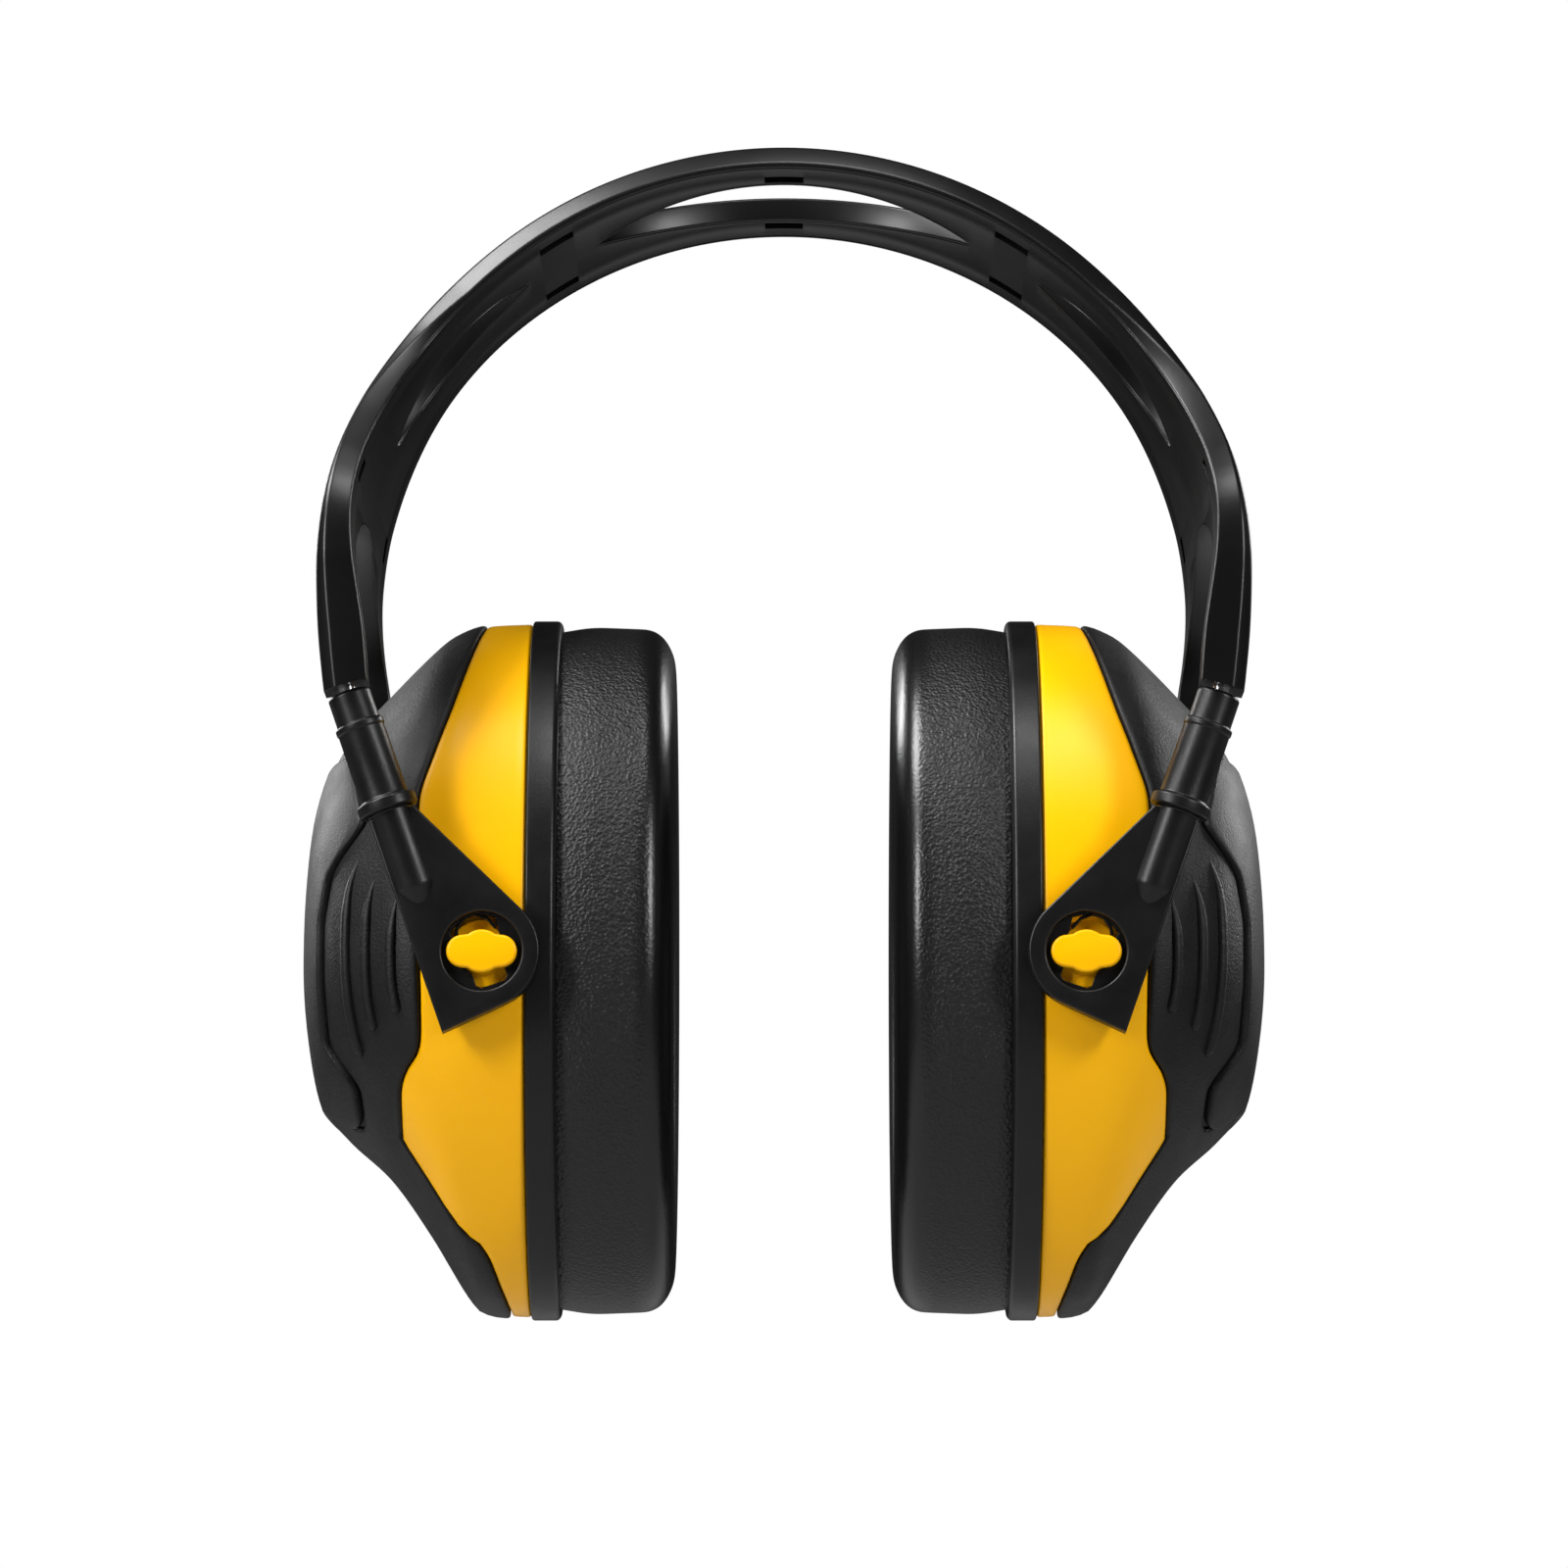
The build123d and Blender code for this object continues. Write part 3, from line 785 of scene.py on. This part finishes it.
def slab(outlines, y_from, y_to, edge, to_world):
    """A flat plate with holes: closed outlines filled, thickened and rounded by a 2-D curve."""
    curve = bpy.data.curves.new("slab", "CURVE")
    curve.dimensions = "2D"
    curve.fill_mode = "BOTH"
    curve.extrude = (y_to - y_from) / 2 - edge
    curve.bevel_depth = edge
    curve.bevel_resolution = 3
    curve.offset = -edge
    for outline in outlines:
        spline = curve.splines.new("POLY")
        spline.points.add(len(outline) - 1)
        spline.use_cyclic_u = True
        for point, (a, b) in zip(spline.points, outline):
            point.co = (a, b, 0, 1)
    holder = bpy.data.objects.new("slab", curve)
    bpy.context.scene.collection.objects.link(holder)
    mesh = bpy.data.meshes.new_from_object(holder.evaluated_get(bpy.context.evaluated_depsgraph_get()))
    middle = (y_from + y_to) / 2
    points = [to_world(v.co.x, v.co.y, middle + v.co.z) for v in mesh.vertices]
    faces = [list(reversed(p.vertices)) for p in mesh.polygons]
    bpy.data.objects.remove(holder)
    bpy.data.curves.remove(curve)
    bpy.data.meshes.remove(mesh)
    return points, faces


def turned(profile, to_place, columns=64):
    """A solid of revolution from (along, radius) points; to_place puts (along, across, out) in the world."""
    points = []
    for along, radius in profile:
        for i in range(columns):
            angle = 2 * pi * i / columns
            points.append(to_place(along, radius * cos(angle), radius * sin(angle)))
    faces = ring_faces(len(profile), columns)
    for row in (0, len(profile) - 1):
        faces.append([row * columns + i for i in range(columns)])
    return points, faces


def plate_outline():
    """The arm plate: a straight outer edge, a square lower corner and edges tangent to the round end."""
    edge, bottom, top, top_width = 9.7, 9.8, 24.6, 7.2
    corner = Vector((edge, -bottom))
    shoulder = Vector((edge - top_width, top))

    def tangent_angle(point, sign):
        outwards = Vector((1, 0))
        touch = Vector((PLATE_R, sqrt(point.length_squared - PLATE_R**2)))
        return point.angle_signed(outwards) + sign * touch.angle_signed(outwards)

    high = tangent_angle(shoulder, 1) * 180 / pi
    low = tangent_angle(corner, -1) * 180 / pi
    if low < high:
        low += 360
    return [tuple(corner), (edge, top), tuple(shoulder)] + arc((0, 0), PLATE_R, high, low, 40)


def arm_shape():
    """One front right arm: plate, keyed web with its two latch struts, and stepped rod."""
    hole = arc((0, 0), HOLE_R, 360, 0, 72)[:-1]
    plate = slab([plate_outline(), hole], WEB_OUT - 0.3, PLATE_OUT, 0.35, arm_to_world)
    keyhole = (
        arc((0, 0), 5.75, 50, 130, 18)
        + arc((0, 0), 3.6, 160, 225, 10)
        + [(-2.5, -3.6), (-2.5, -4.6), (-1.9, -5.2), (1.9, -5.2), (2.5, -4.6), (2.5, -3.6)]
        + arc((0, 0), 3.6, -45, 20, 10)
    )
    web = slab([plate_outline(), keyhole[::-1]], PLATE_IN, WEB_OUT, 0.12, arm_to_world)
    struts = []
    for side in (-1, 1):
        top, foot, half = Vector((side * 1.0, 5.9)), Vector((side * 3.2, 2.9)), 0.24
        across = (foot - top).orthogonal().normalized() * half
        knee = (top + foot) / 2 + Vector((side * 0.35, 0.3))
        outline = [top + across, knee + across, foot + across, foot - across, knee - across, top - across]
        struts.append(slab([[tuple(p) for p in outline]], PLATE_IN + 0.2, WEB_OUT, 0.08, arm_to_world))
    steps = [
        (8.4, 0.6, 0), (9.2, 1.6, 0.4), (12.6, 3.4, 0.5), (24.9, 3.4, 0.2), (25.1, 4.4, 0.15),
        (25.3, 4.65, 0.3), (26.9, 4.65, 0.3), (27.2, 3.75, 0.3), (38.3, 3.65, 0.15), (38.5, 3.82, 0.12),
        (39.3, 3.82, 0.15),
        (39.5, 3.38, 0.15), (44.1, 3.35, 0.3), (44.5, 3.0, 0.15), (44.5, 1.2, 0),
    ]
    rod = turned(
        [(p.x, p.y) for p in rounded_corners(steps)],
        lambda along, across, out: arm_to_world(ROD_OFFSET + across, along, ROD_Y + out),
    )
    return joined(plate, web, *struts, rod)


def stud_shape():
    """One front right pivot stud: shank, stepped disc, neck and bow-tie cap."""
    lobe = 2.5
    cap = []
    for side in (1, -1):
        cap += [(side * x, side * y) for x, y in arc((2.9, 0), lobe, -78, 78, 16)]
        cap += [(side * x, side * y) for x, y in arc((0, 0), 3.32, 52, 128, 14)]
    top = slab([cap], WEB_OUT + 0.1, WEB_OUT + 1.7, 0.5, stud_to_world)
    steps = [
        (38.0, 0.3, 0), (38.0, 3.5, 0.2), (41.0, 3.5, 0.1), (41.3, 5.0, 0.2), (42.9, 5.2, 0.2),
        (42.9, 3.5, 0.1),
        (WEB_OUT + 0.4, 3.3, 0.1), (WEB_OUT + 0.4, 0.3, 0),
    ]
    body = turned(
        [(p.x, p.y) for p in rounded_corners(steps)],
        lambda along, across, out: stud_to_world(across, out, along),
    )
    return joined(top, body)


def build_arms_and_studs():
    """Four arms and four studs, each mirrored from the front right one."""
    arm, stud = arm_shape(), stud_shape()
    for side in ("right", "left"):
        for end in ("front", "rear"):
            flips = {"x": side == "left", "y": end == "rear"}
            make_piece(
                f"{side}_{end}_arm_visual", mirrored(arm, **flips), f"{side}_yoke", "black_satin",
                [f"{side}_{end}_arm"], 30.0,
            )
            make_piece(
                f"{side}_{end}_stud_visual", mirrored(stud, **flips), f"{side}_cup", "yellow_shell",
                [f"{side}_{end}_pivot_stud"], 30.0,
            )


# ------------------------------------------------------------------ headband
LEG_WIDTH = 9.0
CROTCH_Z, STRAIGHT_Z = 74.0, 50.0
CROWN_SLOT = (31.5, 12.3)  # half length, half width
SIDE_SLOT = (17.8, 7.0)
SIDE_SLOT_TURN = radians(51.0)
LEG_END = radians(105.2)
# (angle from the crown, outer radius) and (angle, thickness)
OUTER_RADIUS = [(0, 71.6), (90, 71.6), (94, 71.68), (98, 71.95), (102, 72.35), (105.3, 72.85)]
THICKNESS = [
    (0, 3.7), (71.5, 3.7), (76, 3.9), (81.4, 4.4), (89.5, 5.7), (94, 6.4), (98.7, 6.9), (105.3, 6.85),
]
# (height, half width)
HALF_WIDTH = [
    (58, 48.9), (62, 48.9), (68, 48.1), (73, 46.3), (78, 43.1), (83, 39.3), (88, 35.5),
    (93.5, 31.7), (98, 29.1), (102.5, 27.3), (110, 25.8), (118, 25.3), (131, 25.2),
]
# pockets in the underside: (first and last angle from the crown in degrees)
POCKETS = [(0.0, 2.5), (29.5, 34.5), (73.5, 76.5)]


def lens_half(along, half_length, half_width):
    """Half the width of a lens-shaped slot, at a distance along it."""
    if abs(along) >= half_length:
        return 0.0
    radius = (half_length**2 + half_width**2) / (2 * half_width)
    return max(half_width - radius + sqrt(radius**2 - along**2), 0.0)


def opening_half(angle):
    """Half the opening between the band's front and rear halves at an angle from the crown."""
    height = BAND_Z + BAND_R * cos(angle)
    if angle > radians(60) and height < CROTCH_Z:
        rise = max(height - STRAIGHT_Z, 0.0) / (CROTCH_Z - STRAIGHT_Z)
        return (LEG_HALF_WIDTH - LEG_WIDTH) * sqrt(max(1 - rise**2, 0.0))
    crown = lens_half(BAND_R * sin(angle), *CROWN_SLOT)
    side = lens_half(BAND_R * sin(angle - SIDE_SLOT_TURN), *SIDE_SLOT)
    return max(crown, side)


def band_section(angle):
    """The band's front half at an angle from the crown: rounded (y, radius) points."""
    turn = degrees(angle)
    outer = curve_through(OUTER_RADIUS, turn)
    thick = curve_through(THICKNESS, turn)
    half = curve_through(HALF_WIDTH, BAND_Z + outer * cos(angle))
    gap = opening_half(angle)
    inner = outer - thick
    # the front face leans back over the crown, stands up beside the slots, and is chamfered by the leg
    lean = 1 - min(max((turn - 46) / 19, 0.0), 1.0)
    foot = min(max((turn - 72) / 26, 0.0), 1.0)
    chamfer = 0.35 + 1.6 * lean + 1.1 * foot
    drop = 0.35 + (thick - 1.1) * lean + 1.5 * foot
    soft = min(0.5, gap * 0.5)
    scale = min(1.0, (half - gap) / 13)
    lip = 0.5 * scale
    groove = 0.9
    rim = min(1.0, gap / 3) * 0.55  # a finer groove along the slots' edges
    in_pocket = any(start <= turn <= end for start, end in POCKETS)
    pocket = 2.3 if in_pocket else 0.02
    near, far = half - 6.7 * scale, half - 10.7 * scale
    corners = [
        (gap, outer - 0.01, soft),
        (half - chamfer, outer, 0.5),
        (half, outer - drop, 0.35),
        (half, inner, 0.25),
        (half - lip, inner, 0.1),
        (half - lip - 0.1, inner + groove, 0.1),
        (half - lip - 0.75, inner + groove, 0.1),
        (half - lip - 0.9, inner, 0.15),
        (near, inner, 0.0),
        (near - 0.1, inner + pocket, 0.0),
        (far, inner + pocket, 0.0),
        (far - 0.1, inner, 0.0),
        (gap + 1.35 * scale, inner, 0.1),
        (gap + 1.25 * scale, inner + rim, 0.05),
        (gap + 0.75 * scale, inner + rim, 0.05),
        (gap + 0.65 * scale, inner, 0.1),
        (gap, inner, soft),
    ]
    first = (gap, (outer + inner) / 2, 0)
    return rounded_corners([first] + corners + [first])


def band_angles():
    """Angles from the crown to the leg's end, closer together at slot tips, pockets and the crotch."""
    angles = {0.8 * k for k in range(int(degrees(LEG_END) / 0.8))}
    side_turn = degrees(SIDE_SLOT_TURN)
    tips = [degrees(asin(CROWN_SLOT[0] / BAND_R))]
    tips += [side_turn + sign * degrees(asin(SIDE_SLOT[0] / BAND_R)) for sign in (-1, 1)]
    for tip in tips:
        angles |= {tip + step for step in (-0.5, -0.2, -0.06, 0.0, 0.06, 0.2, 0.5)}
    for start, end in POCKETS:
        angles |= {start, start - 0.1, end, end + 0.1}
    for k in range(41):
        height = STRAIGHT_Z + (CROTCH_Z - STRAIGHT_Z) * cos(pi / 2 * k / 40)
        angles.add(degrees(acos((height - BAND_Z) / BAND_R)))
    angles.add(degrees(LEG_END))
    kept = [0.0]
    for angle in sorted(angles):
        if angle - kept[-1] > 0.03:
            kept.append(angle)
    return [radians(a) for a in kept]


def band_shape():
    """The headband: sections of its front half along the arc, mirrored to the rear and the left."""
    points, faces = [], []
    angles = band_angles()
    sections = [band_section(a) for a in angles]
    count = len(sections[0])
    for angle, section in zip(angles, sections):
        for y, radius in section:
            points.append((radius * sin(angle), -y, BAND_Z + radius * cos(angle)))
    openings = [opening_half(a) for a in angles]
    for k in range(len(angles) - 1):
        closed = openings[k] < 0.001 and openings[k + 1] < 0.001
        for i in range(count - 1):
            if closed and (i == 0 or i == count - 2):
                continue
            low, high = k * count, (k + 1) * count
            faces.append([low + i, low + i + 1, high + i + 1, high + i])
    end = (len(angles) - 1) * count
    faces.append([end + i for i in range(count - 1)])
    quarter = (points, faces)
    half = joined(quarter, mirrored(quarter, y=True))
    return joined(half, mirrored(half, x=True))


def build_headband():
    """The headband as one smooth moulding."""
    make_piece("headband_visual", band_shape(), "headband", "black_band", ["headband"], 35.0, 2 * WELD)


# ------------------------------------------------------------------ carried-over CAD nodes


def dress_cad_nodes():
    """Materials for the CAD nodes that stay."""
    for record in frame["record"]["subparts"]:
        node = frame["nodes"][record["node"]]
        node.data.materials.clear()
        node.data.materials.append(MATERIALS[record["material_slot"]])


# ------------------------------------------------------------------ studio
CAMERA_DISTANCE = 1.2
CAMERA_ELEVATION = radians(-8.5)
VIEW_WIDTH = 0.2488  # metres across the frame at the object's middle
AIM = Vector((0, 0, 0.0325))


def area_light(name, place, size, power, aim=AIM, color=(1, 1, 1), stretch=1.0):
    """A soft rectangular light that points at the object."""
    light = bpy.data.lights.new(name, "AREA")
    light.shape = "RECTANGLE"
    light.size = size
    light.size_y = size * stretch
    light.energy = power
    light.color = color
    lamp = bpy.data.objects.new(name, light)
    bpy.context.scene.collection.objects.link(lamp)
    lamp.location = place
    lamp.rotation_euler = (aim - Vector(place)).to_track_quat("-Z", "Y").to_euler()


FLOOR_REACH, FLOOR_Z = 30.0, -0.32


def pale_floor():
    """A plain pale floor that looks evenly pale and throws little light up at the object."""
    material = new_material("pale_floor", (0.4, 0.4, 0.4), 0.9)
    shader = material.node_tree.nodes["Principled BSDF"]
    even = add_node(material, "ShaderNodeEmission")
    even.inputs["Color"].default_value = (0.95, 0.95, 0.95, 1.0)
    path = add_node(material, "ShaderNodeLightPath")
    mix = add_node(material, "ShaderNodeMixShader")
    link(material, path, "Is Camera Ray", mix, 0)
    link(material, shader, "BSDF", mix, 1)
    link(material, even, "Emission", mix, 2)
    link(material, mix, "Shader", material.node_tree.nodes["Material Output"], "Surface")
    return material


def build_studio():
    """Camera, pale floor, world and lights."""
    scene = bpy.context.scene
    camera = bpy.data.objects.new("camera", bpy.data.cameras.new("camera"))
    scene.collection.objects.link(camera)
    camera.data.sensor_width = 36.0
    camera.data.lens = 36.0 * CAMERA_DISTANCE / VIEW_WIDTH
    back = Vector((0, -cos(CAMERA_ELEVATION), sin(CAMERA_ELEVATION)))
    camera.location = AIM + back * CAMERA_DISTANCE
    camera.rotation_euler = (-back).to_track_quat("-Z", "Y").to_euler()
    scene.camera = camera

    scene.view_settings.view_transform = "Standard"
    world = bpy.data.worlds.new("studio")
    scene.world = world
    world.use_nodes = True
    nodes, links = world.node_tree.nodes, world.node_tree.links
    seen = nodes["Background"]
    seen.inputs["Color"].default_value = (1.0, 1.0, 1.0, 1.0)
    seen.inputs["Strength"].default_value = 1.0
    dim = nodes.new("ShaderNodeBackground")
    dim.inputs["Color"].default_value = (1.0, 1.0, 1.0, 1.0)
    dim.inputs["Strength"].default_value = 0.02
    path = nodes.new("ShaderNodeLightPath")
    mix = nodes.new("ShaderNodeMixShader")
    links.new(path.outputs["Is Camera Ray"], mix.inputs[0])
    links.new(dim.outputs[0], mix.inputs[1])
    links.new(seen.outputs[0], mix.inputs[2])
    links.new(mix.outputs[0], nodes["World Output"].inputs[0])

    mesh = bpy.data.meshes.new("floor")
    corners = [(x * FLOOR_REACH, y * FLOOR_REACH, FLOOR_Z) for x, y in ((-1, -1), (1, -1), (1, 1), (-1, 1))]
    mesh.from_pydata(corners, [], [[0, 1, 2, 3]])
    floor = bpy.data.objects.new("floor", mesh)
    scene.collection.objects.link(floor)
    floor.data.materials.append(pale_floor())

    area_light("upper_left", (-0.62, -0.25, 0.9), 0.45, 15.0)
    area_light("side_left", (-0.95, -0.85, 0.45), 0.2, 10.0, stretch=2.4)
    area_light("side_right", (0.95, -0.85, 0.45), 0.2, 8.5, stretch=2.4)
    area_light("top", (0.1, -0.5, 1.0), 0.35, 4.0)
    area_light("rear_left", (-0.85, 0.85, 0.5), 0.4, 6.0)
    area_light("rear_right", (0.95, 0.75, 0.55), 0.45, 8.0)


dress_cad_nodes()
build_headband()
build_cups()
build_cushions()
build_arms_and_studs()
build_studio()
